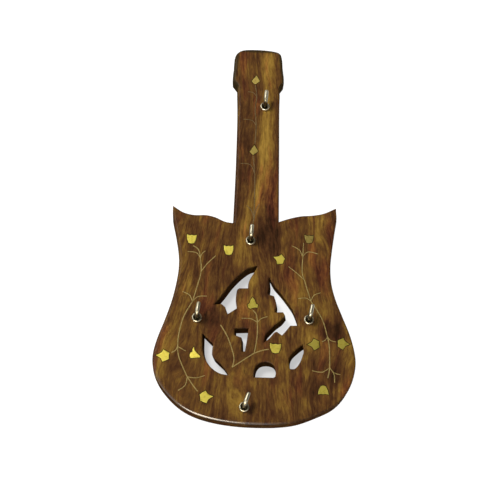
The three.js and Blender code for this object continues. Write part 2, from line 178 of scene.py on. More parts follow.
def refine(loop, step):
    """A finer outline: one smooth curve through the gentle bends, sharp at the corners."""
    chords = [loop[(i + 1) % len(loop)] - point for i, point in enumerate(loop)]

    def heading(i, own):
        """The way the curve runs through point i, or the chord's own at a corner."""
        before, after = chords[i - 1], chords[i % len(chords)]
        if before.angle(after) > SHARP_TURN:
            return own.normalized()
        shared = before.normalized() * after.length + after.normalized() * before.length
        return shared.normalized()

    fine = []
    for i, chord in enumerate(chords):
        start, end = loop[i], loop[i] + chord
        reach = chord.length / 3
        pieces = max(1, round(chord.length / step))
        curve = interpolate_bezier(
            start.to_3d(), (start + heading(i, chord) * reach).to_3d(),
            (end - heading(i + 1, chord) * reach).to_3d(), end.to_3d(), pieces + 1)
        fine += [point.to_2d() for point in curve[:-1]]
    return fine


def rim_widths(loop, full, least):
    """How wide the rounded rim is at each point: it narrows towards every sharp tip."""
    along = [0.0]
    for i in range(len(loop)):
        along.append(along[-1] + (loop[(i + 1) % len(loop)] - loop[i]).length)
    total = along[-1]
    tips = []
    for i, point in enumerate(loop):
        turn = (loop[(i + 1) % len(loop)] - point).angle_signed(point - loop[i - 1])
        if turn > TIP_TURN:
            tips.append(along[i])
    widths = []
    for place in along[:-1]:
        room = min([min(abs(place - tip), total - abs(place - tip)) for tip in tips], default=total)
        widths.append(min(full, least + RIM_GROWTH * room))
    return widths


def inset(loop, widths):
    """The outline moved into the material by a width for each point; below zero it moves out."""
    if not isinstance(widths, list):
        widths = [widths] * len(loop)
    moved = []
    for i, point in enumerate(loop):
        before = (point - loop[i - 1]).normalized()
        after = (loop[(i + 1) % len(loop)] - point).normalized()
        middle = (before + after).normalized()
        side = Vector((-middle.y, middle.x))
        mitre = max(MITRE_LEAST, side.dot(Vector((-after.y, after.x))))
        moved.append(point + side * (widths[i] / mitre))
    return moved


def at_depth(loop, depths):
    """A 2D outline placed in space, at one depth or at a depth for each point."""
    if not isinstance(depths, list):
        depths = [depths] * len(loop)
    return [Vector((point.x, depth, point.y)) for point, depth in zip(loop, depths)]


def rounded_rings(loop, widths, depth, inwards, steps):
    """Rings of a quarter-round rim, from the side wall to the flat face at the given depth."""
    rings = []
    for k in range(steps + 1):
        turn = math.pi / 2 * k / steps
        across = [width * (1 - math.cos(turn)) for width in widths]
        depths = [depth + inwards * width * (1 - math.sin(turn)) for width in widths]
        rings.append(at_depth(inset(loop, across), depths))
    return rings


# ======================================================================================
# Meshes
# ======================================================================================
def linked(name, data):
    """An object in the scene made of a mesh, a light or a camera."""
    made = bpy.data.objects.new(name, data)
    bpy.context.scene.collection.objects.link(made)
    return made


def finish_object(name, bm, material=None, smooth_below=SMOOTH_BELOW):
    """An object made of the faces in bm, with sharp edges where they turn by more than
    smooth_below."""
    bmesh.ops.recalc_face_normals(bm, faces=bm.faces)
    mesh = bpy.data.meshes.new(name)
    bm.to_mesh(mesh)
    bm.free()
    mesh.shade_smooth()
    mesh.set_sharp_from_angle(angle=smooth_below)
    if material:
        mesh.materials.append(material)
    return linked(name, mesh)


def add_solid(bm, strands):
    """Adds a closed solid. A strand is a list of rings with as many points in each; the first
    rings of all the strands share one flat cap, and so do the last ones. The walls of the second
    and later strands take the second material."""
    first_edges, last_edges = [], []
    for number, strand in enumerate(strands):
        rows = [[bm.verts.new(point) for point in ring] for ring in strand]
        for row, following in zip(rows, rows[1:]):
            for i in range(len(row)):
                face = bm.faces.new((row[i - 1], row[i], following[i], following[i - 1]))
                face.material_index = min(number, 1)
        for edges, row in ((first_edges, rows[0]), (last_edges, rows[-1])):
            edges += [bm.edges.get((row[i - 1], row[i])) for i in range(len(row))]
    for edges in (first_edges, last_edges):
        bmesh.ops.triangle_fill(bm, use_beauty=True, edges=edges)


def solid(name, strands, material, smooth_below=SMOOTH_BELOW):
    """An object that is one closed solid."""
    bm = bmesh.new()
    add_solid(bm, strands)
    return finish_object(name, bm, material, smooth_below)


def prism(loop, depth_a, depth_b):
    """The strands of an outline drawn straight from one depth to another."""
    return [[at_depth(loop, depth_a), at_depth(loop, depth_b)]]


def circle(x, z, radius, sides=32):
    """A round outline."""
    turns = [2 * math.pi * k / sides for k in range(sides)]
    return [Vector((x + radius * math.cos(t), z + radius * math.sin(t))) for t in turns]


def bake_modifiers(piece):
    """Replaces the piece's mesh by what its modifiers make of it."""
    graph = bpy.context.evaluated_depsgraph_get()
    mesh = bpy.data.meshes.new_from_object(piece.evaluated_get(graph))
    piece.modifiers.clear()
    piece.data = mesh


def cut(piece, strand_sets):
    """Cuts away solids, given as sets of strands. Solids that meet come in separate calls."""
    bm = bmesh.new()
    for strands in strand_sets:
        add_solid(bm, strands)
    cutter = finish_object("cutter", bm)
    boolean = piece.modifiers.new("cut", "BOOLEAN")
    boolean.operation = "DIFFERENCE"
    boolean.solver = "MANIFOLD"
    boolean.object = cutter
    bake_modifiers(piece)
    bpy.data.objects.remove(cutter)


def even_normals(piece):
    """Keeps flat faces flat beside rounded rims."""
    piece.data.set_sharp_from_angle(angle=SMOOTH_BELOW)
    weighted = piece.modifiers.new("normals", "WEIGHTED_NORMAL")
    weighted.keep_sharp = True
    return piece


# ======================================================================================
# Materials
# ======================================================================================
class Shader:
    """A material built a node at a time round one Principled shader."""

    def __init__(self, name, **sockets):
        self.material = bpy.data.materials.new(name)
        self.material.use_nodes = True
        self.tree = self.material.node_tree
        self.surface = self.tree.nodes["Principled BSDF"]
        for socket, value in sockets.items():
            self.surface.inputs[socket.replace("_", " ")].default_value = value

    def node(self, kind, inputs=None, **settings):
        """A shader node; each of its inputs is a plain value or another node's output."""
        made = self.tree.nodes.new("ShaderNode" + kind)
        for key, value in settings.items():
            setattr(made, key, value)
        for key, value in (inputs or {}).items():
            self.feed(made.inputs[key], value)
        return made

    def feed(self, socket, value):
        if isinstance(value, bpy.types.NodeSocket):
            self.tree.links.new(value, socket)
        else:
            socket.default_value = value

    def place(self):
        return self.node("TexCoord").outputs["Object"]

    def times(self, vector, factors):
        return self.node("VectorMath", {0: vector, 1: factors}, operation="MULTIPLY").outputs[0]

    def plus(self, vector, other):
        return self.node("VectorMath", {0: vector, 1: other}, operation="ADD").outputs[0]

    def math(self, operation, a, b=0.0):
        return self.node("Math", {0: a, 1: b}, operation=operation).outputs[0]

    def noise(self, vector, factors, detail=2.0, roughness=0.5):
        """Noise whose features are about 1 / factor metres long along each axis."""
        return self.node("TexNoise", {
            "Vector": self.times(vector, factors), "Scale": 1.0,
            "Detail": detail, "Roughness": roughness,
        })

    def span(self, value, low, high, to_low=0.0, to_high=1.0):
        """Runs smoothly from to_low to to_high as the value goes from low to high."""
        return self.node("MapRange", {
            "Value": value, "From Min": low, "From Max": high, "To Min": to_low, "To Max": to_high,
        }, interpolation_type="SMOOTHSTEP").outputs[0]

    def mix(self, factor, a, b, blend="MIX"):
        made = self.node("Mix", {0: factor, 6: a, 7: b}, data_type="RGBA", blend_type=blend)
        return made.outputs[2]

    def ramp(self, value, stops):
        made = self.node("ValToRGB", {0: value})
        elements = made.color_ramp.elements
        while len(elements) < len(stops):
            elements.new(0.5)
        for element, (position, colour) in zip(elements, stops):
            element.position = position
            element.color = (*colour, 1.0)
        return made.outputs["Color"]

    def bump(self, height, distance, strength=1.0, normal=None):
        """The normals of a relief, on top of an earlier relief if there is one."""
        inputs = {"Height": height, "Distance": distance, "Strength": strength}
        if normal:
            inputs["Normal"] = normal
        return self.node("Bump", inputs).outputs[0]

    def set(self, socket, value):
        self.feed(self.surface.inputs[socket], value)


# Figure of this board: middle (x, z) and half size in mm, lean of the top to the right in degrees,
# and how much lighter or darker than the plain wood the patch is.
FIGURE = [
    (3.8, 62, 6.4, 44, 0, 0.28), (6.5, 113, 4.5, 18, 4, 0.28), (0.5, 12, 4.5, 20, 4, 0.24),
    (-7, -12, 4.0, 24, 10, 0.29), (-2, -40, 2.8, 15, 8, 0.14), (-7, -56, 4.0, 13, 10, 0.16),
    (24, -46, 8.0, 13, 18, 0.22), (38, -53, 5.0, 12, -20, 0.06), (33, -74, 5.5, 18, 22, 0.16),
    (27, -94, 4.5, 12, 5, 0.10), (-10, -110, 5.5, 18, 3, 0.24), (-29, -16, 3.5, 16, 4, -0.06),
    (-43, -42, 4.0, 22, 6, 0.14), (-51, -84, 4.5, 26, 14, 0.20), (44, -2, 5.0, 13, 12, 0.22),
    (-38, -32, 4.5, 9, 6, -0.22), (-9, 112, 4.0, 9, 0, 0.22), (39, -32, 5.0, 8, 0, -0.16),
    (10, 22, 3.0, 16, 0, -0.14), (-20, -84, 4.5, 6, 0, 0.06), (22, -99, 3.5, 6, 0, -0.10),
    (9, -62, 6.5, 6, 0, 0.20), (17, -113, 6.0, 10, 0, 0.06), (-33, -30, 2.5, 25, 0, 0.06),
    (-6.5, 70, 4.0, 34, 0, -0.08), (12.5, 55, 2.6, 62, 0, -0.14), (10, -8, 8.0, 20, 0, -0.34),
    (-19, -20, 6.0, 22, 12, -0.10), (-27, -62, 9.0, 9, 0, -0.22), (-33, -99, 8.0, 13, 8, 0.08),
    (44, -70, 9.0, 7, 30, -0.36), (50, -93, 7.0, 11, 10, -0.20), (34, -104, 8.0, 9, -20, -0.14),
    (10, -100, 8.0, 6, 0, -0.12), (4, -43, 3.0, 11, 5, -0.28), (-8, 115, 4.0, 12, 0, 0.02),
]


# The painted shade on the headstock's rounded rim follows the headstock: its middle line, and its half width at
# two heights.
HEAD_MIDDLE = 0.5 * MM
HEAD_LOW, HEAD_HIGH = 0.098, 0.122
HEAD_LOW_HALF_WIDTH, HEAD_HIGH_HALF_WIDTH = 16.9 * MM, 15.0 * MM


def wood_colour(s, place, grain, figured, streaks):
    """Broad dark and golden figure, streaks, clouds, growth lines and redder areas."""
    bands = s.noise(grain, (75, 60, 4.5), 4, 0.6).outputs[0]
    flecks = s.noise(grain, (900, 700, 160), 3, 0.7).outputs[0]
    clouds = s.noise(grain, (190, 150, 85), 4, 0.65).outputs[0]
    tone = 0.47
    for pattern, strength in ((bands, 0.85), (streaks, 0.6), (flecks, 0.75), (clouds, 0.75)):
        tone = s.math("ADD", tone, s.math("MULTIPLY", s.math("SUBTRACT", pattern, 0.5), strength))
    for x, z, half_width, half_length, lean, change in FIGURE:
        patch = s.node("Mapping", {
            "Vector": figured,
            "Location": (x * MM, 0.0, z * MM),
            "Rotation": (0.0, math.radians(lean), 0.0),
            "Scale": (half_width * MM, 1.0, half_length * MM),
        }, vector_type="TEXTURE")
        away = s.node("VectorMath", {0: patch.outputs[0]}, operation="LENGTH").outputs["Value"]
        tone = s.math("ADD", tone, s.span(away, 0.25, 1.25, change, 0.0))

    contour = s.math("MULTIPLY", s.noise(grain, (95, 70, 3.2), 1, 0.4).outputs[0], 16.0)
    rings = s.span(s.math("PINGPONG", contour, 0.5), 0.0, 0.16, 1.0, 0.0)
    ring_strength = s.span(s.noise(place, (60, 60, 25), 2).outputs[0], 0.35, 0.7)
    lines = s.math("MULTIPLY", s.math("MULTIPLY", rings, ring_strength), 0.13)
    tone = s.math("SUBTRACT", tone, lines)
    colour = s.ramp(tone, [
        (0.06, (0.020, 0.0078, 0.0026)),
        (0.32, (0.058, 0.0230, 0.0080)),
        (0.52, (0.104, 0.0480, 0.0120)),
        (0.72, (0.172, 0.0930, 0.0170)),
        (0.96, (0.280, 0.1650, 0.0290)),
    ])
    redness = s.span(s.noise(grain, (110, 90, 22), 3).outputs[0], 0.50, 0.66, 0.0, 0.8)
    return s.mix(redness, colour, (1.16, 0.80, 1.05, 1.0), "MULTIPLY")


def painted_rim_shade(s, along):
    """How far painted shade darkens the wood: along the headstock's rounded rim, fading out near the back."""
    side = s.math("ABSOLUTE", s.math("SUBTRACT", along["X"], HEAD_MIDDLE))
    half_width = s.span(along["Z"], HEAD_LOW, HEAD_HIGH, HEAD_LOW_HALF_WIDTH, HEAD_HIGH_HALF_WIDTH)
    near_side = s.span(s.math("SUBTRACT", side, half_width), -2.2 * MM, -0.8 * MM)
    near_top = s.span(along["Z"], 0.1230, 0.1247)
    on_side = s.span(along["Y"], FACE, FACE + 0.35 * MM)
    near_rim = s.math("MAXIMUM", s.math("MAXIMUM", near_side, near_top), on_side)
    near_back = s.span(along["Y"], BACK - 1.5 * MM, BACK - 0.5 * MM, 0.85, 0.0)
    on_head = s.math("MULTIPLY", s.span(along["Z"], 0.090, 0.100), near_back)
    return s.math("MULTIPLY", near_rim, on_head)


def lacquer_film(s, along):
    """How strong the gloss is: a thin film on the face, and on its rounded front edge a thick run
    at the lower left, with hardly any elsewhere."""
    film = 0.12
    near_foot = s.span(along["Z"], -0.108, -0.092, 1.0, 0.10)
    run_down = s.math("MULTIPLY", near_foot, s.span(along["X"], 0.0, 0.025, 1.0, 0.10))
    rounding = s.span(along["Y"], FACE + 0.03 * MM, FACE + 0.2 * MM)
    lacquer = s.math("ADD", film, s.math("MULTIPLY", rounding, s.math("SUBTRACT", run_down, film)))
    near_face = s.span(along["Y"], FACE + 0.8 * MM, FACE + 1.2 * MM, 1.0, 0.0)
    return s.math("MULTIPLY", lacquer, near_face)


def sheesham(name, stain_and_shade):
    """Lacquered Indian rosewood with its grain along Z, which leans right on the left half.
    The second argument is how far the wood behind the face's edge is darkened: on the cut walls darker wood and
    painted shade, on the rounded front rim painted shade."""
    s = Shader(name, Specular_IOR_Level=0.0, Coat_Roughness=0.13, Coat_IOR=1.75)
    place = s.place()
    along = s.node("SeparateXYZ", {0: place}).outputs
    slant = s.span(along["X"], -0.045, 0.005, -0.20, 0.0)
    drift = s.math("MULTIPLY", s.math("ADD", along["Z"], 0.06), slant)
    leaning = s.plus(place, s.node("CombineXYZ", {0: drift}).outputs[0])
    swirl = s.plus(s.noise(place, (34, 34, 16), 3).outputs["Color"], (-0.5, -0.5, -0.5))
    wobble = s.times(swirl, (0.020, 0.012, 0.010))
    grain = s.plus(leaning, wobble)

    streaks = s.noise(grain, (420, 300, 18), 3, 0.6).outputs[0]
    pores = s.span(s.noise(grain, (3200, 2600, 150), 2, 0.6).outputs[0], 0.58, 0.70)
    behind_face = s.span(along["Y"], FACE + 0.02 * MM, FACE + 1.2 * MM)
    colour = wood_colour(s, place, grain, s.plus(place, wobble), streaks)
    colour = s.mix(s.math("MULTIPLY", pores, 0.45), colour, (0.016, 0.008, 0.005, 1.0))
    # Painted shade: the rounded front rim and the cut walls are darkened towards dark brown
    colour = s.mix(s.math("MULTIPLY", behind_face, stain_and_shade), colour, (0.024, 0.0130, 0.0060, 1.0))
    # Painted shade: a dark rim round the headstock's rounded edge
    s.set("Base Color", s.mix(painted_rim_shade(s, along), colour, (0.024, 0.0175, 0.0070, 1.0)))
    s.set("Coat Weight", lacquer_film(s, along))

    uneven = s.noise(place, (120, 120, 60), 3).outputs[0]
    s.set("Roughness", s.span(uneven, 0.3, 0.7, 0.48, 0.66))
    fine = s.math("ADD", s.math("MULTIPLY", pores, -0.7), s.math("MULTIPLY", streaks, 0.5))
    relief = s.bump(fine, 0.00010, 0.8)
    saw_marks = s.noise(place, (500, 3500, 500), 2).outputs[0]
    s.set("Normal", s.bump(s.math("MULTIPLY", saw_marks, behind_face), 0.0002, 0.6, relief))
    s.set("Coat Normal", s.bump(uneven, 0.0004, 0.4))
    return s.material


def brass(name, bright, dull, dullness):
    """Brass rubbed flush with the board, brighter on worn rims, with blotches and scratches."""
    s = Shader(name, Metallic=0.55, Specular_IOR_Level=0.3)
    place = s.place()
    blotch = s.span(s.noise(place, (520, 520, 520), 3, 0.6).outputs[0], 0.32, 0.68, 0.0, dullness)
    worn = s.node("Attribute", attribute_name="worn").outputs["Fac"]
    middle = s.math("MULTIPLY", s.math("SUBTRACT", 1.0, worn), 0.45)
    darkening = s.math("MAXIMUM", blotch, middle)
    polish = s.math("ADD", 1.0, s.node("Attribute", attribute_name="polish").outputs["Fac"])
    s.set("Base Color", s.times(s.mix(darkening, (*bright, 1.0), (*dull, 1.0)), polish))
    scratches = s.noise(place, (5200, 900, 420), 2).outputs[0]
    s.set("Roughness", s.span(scratches, 0.3, 0.7, 0.42, 0.6))
    dents = s.bump(s.noise(place, (700, 700, 500), 2).outputs[0], 0.00010, 0.6)
    s.set("Normal", s.bump(scratches, 0.00003, 0.5, dents))
    return s.material


def nickel(name, darkening):
    """Nickel plate, a little yellow, with dull spots. The second argument is how far painted shade darkens the
    plate behind the front strip of a hook's arm and on its shank, so the arm's front stays bright."""
    s = Shader(name, Metallic=1.0)
    place = s.place()
    depth = s.node("SeparateXYZ", {0: place}).outputs["Y"]
    # Painted shade on the sides and back of the arm and on the shank
    shade_behind_arm = s.span(depth, FACE - 10.6 * MM, FACE - 9.7 * MM, 0.0, 0.7)
    shade_on_shank = s.span(depth, FACE - 7.5 * MM, FACE - 5.0 * MM, 0.0, 0.3)
    shaded = s.math("MULTIPLY", s.math("ADD", shade_behind_arm, shade_on_shank), darkening)
    spots = s.span(s.noise(place, (350, 350, 350), 3, 0.6).outputs[0], 0.45, 0.72)
    plate = s.mix(spots, (0.64, 0.59, 0.44, 1.0), (0.44, 0.40, 0.27, 1.0))
    s.set("Base Color", s.mix(shaded, plate, (0.070, 0.060, 0.032, 1.0)))
    s.set("Roughness", s.span(spots, 0.0, 1.0, 0.30, 0.38))
    return s.material


def zinc():
    """Zinc-plated pressed steel with its mottled plating."""
    s = Shader("zinc_plate", Metallic=1.0)
    place = s.place()
    mottle = s.node("TexVoronoi", {"Vector": s.times(place, (520, 520, 520)), "Scale": 1.0})
    grey = s.ramp(mottle.outputs["Color"], [(0.2, (0.40, 0.41, 0.43)), (0.8, (0.58, 0.60, 0.62))])
    s.set("Base Color", grey)
    worn = s.noise(place, (900, 900, 900), 3).outputs[0]
    s.set("Roughness", s.span(worn, 0.3, 0.7, 0.28, 0.5))
    s.set("Normal", s.bump(worn, 0.00003, 0.4))
    return s.material


def lac():
    """Black lac rubbed into the gaps, slightly dusty with wood."""
    s = Shader("black_lac", Roughness=0.7, Specular_IOR_Level=0.05)
    dust = s.noise(s.place(), (1500, 1500, 1500), 3).outputs[0]
    s.set("Base Color", s.ramp(dust, [(0.35, (0.020, 0.012, 0.003)), (0.7, (0.050, 0.032, 0.008))]))
    s.set("Normal", s.bump(dust, 0.00005, 0.5))
    return s.material


MATERIALS = {
    "sheesham": sheesham("sheesham_wood", 0.45),
    "brass": brass("inlay_brass", (0.70, 0.59, 0.105), (0.36, 0.29, 0.030), 0.8),
    "tarnished_brass": brass("inlay_brass_dull", (0.40, 0.31, 0.075), (0.19, 0.135, 0.033), 0.8),
    "nickel": nickel("nickel_plate", 0.0),
    "zinc_steel": zinc(),
}
WIRE_FINISH = {
    "brass": brass("wire_brass", (0.44, 0.34, 0.12), (0.20, 0.14, 0.045), 0.9),
    "tarnished_brass": brass("wire_brass_dull", (0.22, 0.15, 0.06), (0.10, 0.06, 0.025), 0.9),
}
# The walls of the openings take a darker copy of the wood: darker cut wood and painted shade
SAWN_AND_SHADED_WOOD = sheesham("sheesham_sawn", 0.55)
# The hook wire takes the painted shade in full; the collars take none
HOOK_WIRE = nickel("nickel_wire", 1.0)
LAC = lac()


def show(piece, slot, body, *nodes):
    """The piece stands for CAD nodes and rides on their body. The slot is not used."""
    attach(piece, body)
    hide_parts(*nodes)


SLOTS = {part["node"]: part["material_slot"] for part in frame["record"]["subparts"]}


# ======================================================================================
# Board
# ======================================================================================
leaf_nodes = sorted(name for name in frame["nodes"] if name.startswith("leaf_"))
vine_nodes = sorted(name for name in frame["nodes"] if name.startswith("vine_"))
hook_joints = [joint for joint in frame["joints"] if joint["name"].endswith("_hook_turn")]
inlays = {name: refine(flat_loops(name, FACE)[0], LEAF_STEP) for name in leaf_nodes}
for name in vine_nodes:
    outline = without_slivers(longest(flat_loops(name, FACE)), VINE_LEAST_CHORD)
    inlays[name] = refine(outline, VINE_STEP)

PLATE_SCREWS = ("hanging_plate_screw_1", "hanging_plate_screw_2")
plate_low, plate_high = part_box("hanging_plate")
back_loops = flat_loops("board", BACK)
outer_loop = longest(back_loops)
recess_loop = next(
    loop for loop in back_loops
    if loop is not outer_loop and all(plate_low.z - MM < p.y < plate_high.z + MM for p in loop))
opening_loops = [loop for loop in back_loops if loop is not outer_loop and loop is not recess_loop]


def board_strand(fine, front_round, back_round, steps, lean=0.0):
    """The wall of the board along an outline drawn on its back. With a lean it drifts to the left
    towards the face, by that share of the thickness."""
    front = rim_widths(fine, front_round, TIP_FRONT_ROUND)
    back = rim_widths(fine, back_round, TIP_BACK_ROUND)
    rings = rounded_rings(fine, back, BACK, -1, 3)[::-1]
    rings += rounded_rings(fine, front, FACE, 1, steps)
    return [[point + Vector((lean * (point.y - BACK), 0, 0)) for point in ring] for ring in rings]


def make_board():
    """The board with its openings, the recesses of the inlay and the plate, and the holes."""
    outline = inset(refine(outer_loop, BOARD_STEP), OUTLINE_INSET)
    strands = [board_strand(outline, FRONT_ROUND, BACK_ROUND, 7)]
    for loop in opening_loops:
        fine = refine(loop, OPENING_STEP)
        strands.append(board_strand(fine, OPENING_ROUND, OPENING_BACK_ROUND, 4, SAW_LEAN))
    board = solid("carved_board", strands, MATERIALS["sheesham"])
    board.data.materials.append(SAWN_AND_SHADED_WOOD)
    start, recess_floor = FACE - CUT_OVER, FACE + INLAY_THICK + RECESS_SPARE
    cut(board, [prism(inset(inlays[name], -LEAF_GAP), start, recess_floor) for name in leaf_nodes])
    for name in vine_nodes:
        cut(board, [prism(inset(inlays[name], -WIRE_GAP), start, recess_floor)])
    holes = []
    for joint in hook_joints:
        x, _, z = joint["pos_m"]
        hole = circle(x, z, WIRE_RADIUS + HOOK_HOLE_GAP)
        holes.append(prism(hole, start, FACE + HOOK_HOLE_DEPTH))
    cut(board, holes)

    start = BACK + CUT_OVER
    pocket_loop = longest(flat_loops("board", POCKET_FLOOR))
    cut(board, [prism(refine(recess_loop, RECESS_STEP), start, plate_low.y - RECESS_SPARE)])
    cut(board, [prism(refine(pocket_loop, RECESS_STEP), start, POCKET_FLOOR)])
    holes = []
    for node in PLATE_SCREWS:
        low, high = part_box(node)
        hole = circle(0.0, (low.z + high.z) / 2, PLATE_SCREW_HOLE)
        holes.append(prism(hole, start, low.y - RECESS_SPARE))
    cut(board, holes)
    show(even_normals(board), "sheesham", ROOT, "board")


make_board()


# ======================================================================================
# Inlay: leaves, vines and the lac that holds them
# ======================================================================================
# How much brighter or darker than the others each leaf is, mostly brighter on the left and darker on the right.
LEAF_BRIGHTNESS = {
    "leaf_headstock": 0.55, "leaf_neck": 0.15, "leaf_left_shoulder": 0.24,
    "leaf_left_inner": 0.24, "leaf_right_shoulder": -0.12, "leaf_centre": -0.20,
    "leaf_left_rim": 0.38, "leaf_left_lower": 0.60, "leaf_left_bottom": 0.16,
    "leaf_right_lower_inner": -0.38, "leaf_right_rim": -0.36, "leaf_right_bottom": -0.24,
}


def inlay_rings(loop):
    """Rings of an inlaid plate, from its back to the softened rim of its front."""
    rim = rim_widths(loop, INLAY_ROUND, TIP_INLAY_ROUND)
    return [at_depth(loop, FACE + INLAY_THICK)] + rounded_rings(loop, rim, FACE, 1, 2)


def make_leaf(name):
    """A leaf with a softened rim. The point attribute "worn" is 1 on its rim and 0 in its middle,
    and "polish" is how much brighter it is than the other leaves."""
    loop = inlays[name]
    rings = inlay_rings(loop)
    band = rim_widths(loop, LEAF_WORN_BAND, TIP_WORN_BAND)
    rings.append(at_depth(inset(loop, band), FACE))
    leaf = solid(name + "_inlay", [rings], MATERIALS[SLOTS[name]])
    worn = leaf.data.attributes.new("worn", "FLOAT", "POINT")
    middle = len(leaf.data.vertices) - len(loop)
    for number, entry in enumerate(worn.data):
        entry.value = 1.0 if number < middle else 0.0
    polish = leaf.data.attributes.new("polish", "FLOAT", "POINT")
    for entry in polish.data:
        entry.value = LEAF_BRIGHTNESS.get(name, 0.0)
    show(even_normals(leaf), SLOTS[name], ROOT, name)


def make_vine(name):
    """A vine of flattened wire."""
    vine = solid(name + "_inlay", [inlay_rings(inlays[name])], WIRE_FINISH[SLOTS[name]])
    show(even_normals(vine), SLOTS[name], ROOT, name)


def lac_ring(name):
    """The lac between a leaf and the wall of its recess, a closed ring of four rows of points."""
    outer = inset(inlays[name], TINY - LEAF_GAP)
    inner = inset(inlays[name], -TINY)
    bottom = FACE + INLAY_THICK + LAC_BEHIND
    top = FACE + LAC_SUNK
    rows = ((outer, bottom), (outer, top), (inner, top), (inner, bottom))
    return [at_depth(loop, depth) for loop, depth in rows]


def add_tube(bm, rows):
    """Adds a closed ring of faces through rows of points that come back to the first row."""
    rows = [[bm.verts.new(point) for point in row] for row in rows]
    for row, following in zip(rows, rows[1:] + rows[:1]):
        for i in range(len(row)):
            bm.faces.new((row[i - 1], row[i], following[i], following[i - 1]))


lac_bm = bmesh.new()
for name in leaf_nodes:
    make_leaf(name)
    add_tube(lac_bm, lac_ring(name))
for name in vine_nodes:
    make_vine(name)
lac_filler = finish_object("lac_filler", lac_bm, LAC)
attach(lac_filler, ROOT)


# ======================================================================================
# Screw hooks
# ======================================================================================
def threaded(depth, start, end, angle):
    """Radius of a screw thread at a depth along its axis and an angle round it."""
    turn = (depth / THREAD_PITCH - angle / (2 * math.pi)) % 1.0
    ridge = max(0.0, 1.0 - abs(turn - 0.5) / THREAD_RIDGE)
    fade = min(1.0, abs(depth - start) / THREAD_FADES[0], abs(depth - end) / THREAD_FADES[1])
    return THREAD_CORE + (THREAD_CREST - THREAD_CORE) * ridge * fade


def hook_rings(node, joint, sides=28):
    """Rings of a hook from its screw tip to the top of its arm, turned as its CAD node is."""
    x, face, z = joint["pos_m"]
    low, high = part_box(node)
    arm = low.y + WIRE_RADIUS
    outside = [v.co for v in frame["nodes"][node].data.vertices
               if math.hypot(v.co.x - x, v.co.z - z) > ARM_CLEAR]
    lean = math.atan2(sum(co.x - x for co in outside), sum(co.z - z for co in outside))
    rise = max(math.hypot(co.x - x, co.z - z) for co in outside)
    rise = math.sqrt(rise ** 2 - WIRE_RADIUS ** 2)
    turned = Matrix.Translation((x, 0, z)) @ Matrix.Rotation(lean, 4, "Y")
    thread_end = face + BARE_SHANK
    rings = []

    def ring(depth, height, heading, radius):
        """heading 0 runs forward along -Y and a quarter turn runs up."""
        across, out = Vector((1, 0, 0)), Vector((0, math.sin(heading), math.cos(heading)))
        middle = Vector((0, depth, height))
        points = []
        for k in range(sides):
            angle = 2 * math.pi * k / sides
            size = radius(angle) if callable(radius) else radius
            away = (across * math.cos(angle) + out * math.sin(angle)) * size
            points.append(turned @ (middle + away))
        rings.append(points)

    tip = high.y
    ring(tip, 0, 0, 0.05 * MM)
    ring(tip - 0.6 * MM, 0, 0, 0.5 * MM)
    depth = tip - 1.3 * MM
    while depth > thread_end:
        ring(depth, 0, 0, lambda angle, d=depth: threaded(d, tip - 1.0 * MM, thread_end, angle))
        depth -= THREAD_PITCH / THREAD_STEPS
    for depth in (thread_end - 0.2 * MM, face, arm + HOOK_BEND):
        ring(depth, 0, 0, WIRE_RADIUS)
    for k in range(1, 11):
        heading = math.pi / 2 * k / 10
        depth = arm + HOOK_BEND * (1 - math.sin(heading))
        ring(depth, HOOK_BEND * (1 - math.cos(heading)), heading, WIRE_RADIUS)
    straight = rise - HOOK_BEND - HOOK_END_ROUND
    for share in (0.3, 0.6, 0.85, 1.0):
        ring(arm, HOOK_BEND + straight * share, math.pi / 2, WIRE_RADIUS * (1 - ARM_TAPER * share))
    for k in range(1, 6):
        turn = math.pi / 2 * k / 5.5
        size = WIRE_RADIUS * (1 - ARM_TAPER) - HOOK_END_ROUND * (1 - math.cos(turn))
        ring(arm, rise - HOOK_END_ROUND * (1 - math.sin(turn)), math.pi / 2, size)
    return rings


def collar_profile():
    """Radius and height of the domed collar, from its inner foot over the crest to its rim."""
    inner, crest, outer = 1.42 * MM, 2.45 * MM, 3.13 * MM
    height, dip, foot, edge = 1.62 * MM, 1.0 * MM, 0.35 * MM, 0.12 * MM
    points = [(inner, 0.0), (inner, height - dip)]
    for t in (0.5, 1.0, math.pi / 2):
        drop = dip * (1 - math.cos(t - math.pi / 2))
        points.append((inner + (crest - inner) * math.sin(t), height - drop))
    for k in range(1, 9):
        t = math.pi / 2 * k / 8
        radius = crest + (outer - crest) * math.sin(t)
        points.append((radius, foot + (height - foot) * math.cos(t)))
    points.append((outer, edge))
    points.append((outer - edge, 0.0))
    return points


for joint in hook_joints:
    body = joint["child"]
    body_nodes = frame["record"]["behaviour"]["bodies"][body]
    node = next(name for name in body_nodes if not name.endswith("_collar"))
    hook = solid(node + "_wire", [hook_rings(node, joint)], HOOK_WIRE, HOOK_SMOOTH_BELOW)
    show(hook, "nickel", body, node)

    x, _, z = joint["pos_m"]
    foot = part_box(node + "_collar")[1].y
    rows = [at_depth(circle(x, z, radius, 48), foot - up) for radius, up in collar_profile()]
    bm = bmesh.new()
    add_tube(bm, rows)
    collar = finish_object(node + "_dome", bm, MATERIALS["nickel"])
    show(collar, "nickel", body, node + "_collar")


# ======================================================================================
# Hanging plate on the back
# ======================================================================================
def make_plate():
    """The keyhole plate: a rounded rim and slot, and a countersink for each screw."""
    screw_hole_below, countersink = 6 * MM, 0.62
    strands = []
    for loop in flat_loops("hanging_plate", BACK):
        fine = refine(loop, PLATE_STEP)
        if max((a - b).length for a in loop for b in loop) < screw_hole_below:
            middle = sum(loop, Vector((0, 0))) / len(loop)
            narrow = [middle + (point - middle) * countersink for point in fine]
            strands.append([at_depth(fine, BACK), at_depth(narrow, plate_low.y + 0.1 * MM),
                            at_depth(narrow, plate_low.y)])
        else:
            rings = rounded_rings(fine, [PLATE_ROUND] * len(fine), BACK, -1, 2)[::-1]
            strands.append(rings + [at_depth(fine, plate_low.y)])
    plate = even_normals(solid("keyhole_plate", strands, MATERIALS["zinc_steel"]))
    show(plate, "zinc_steel", ROOT, "hanging_plate")


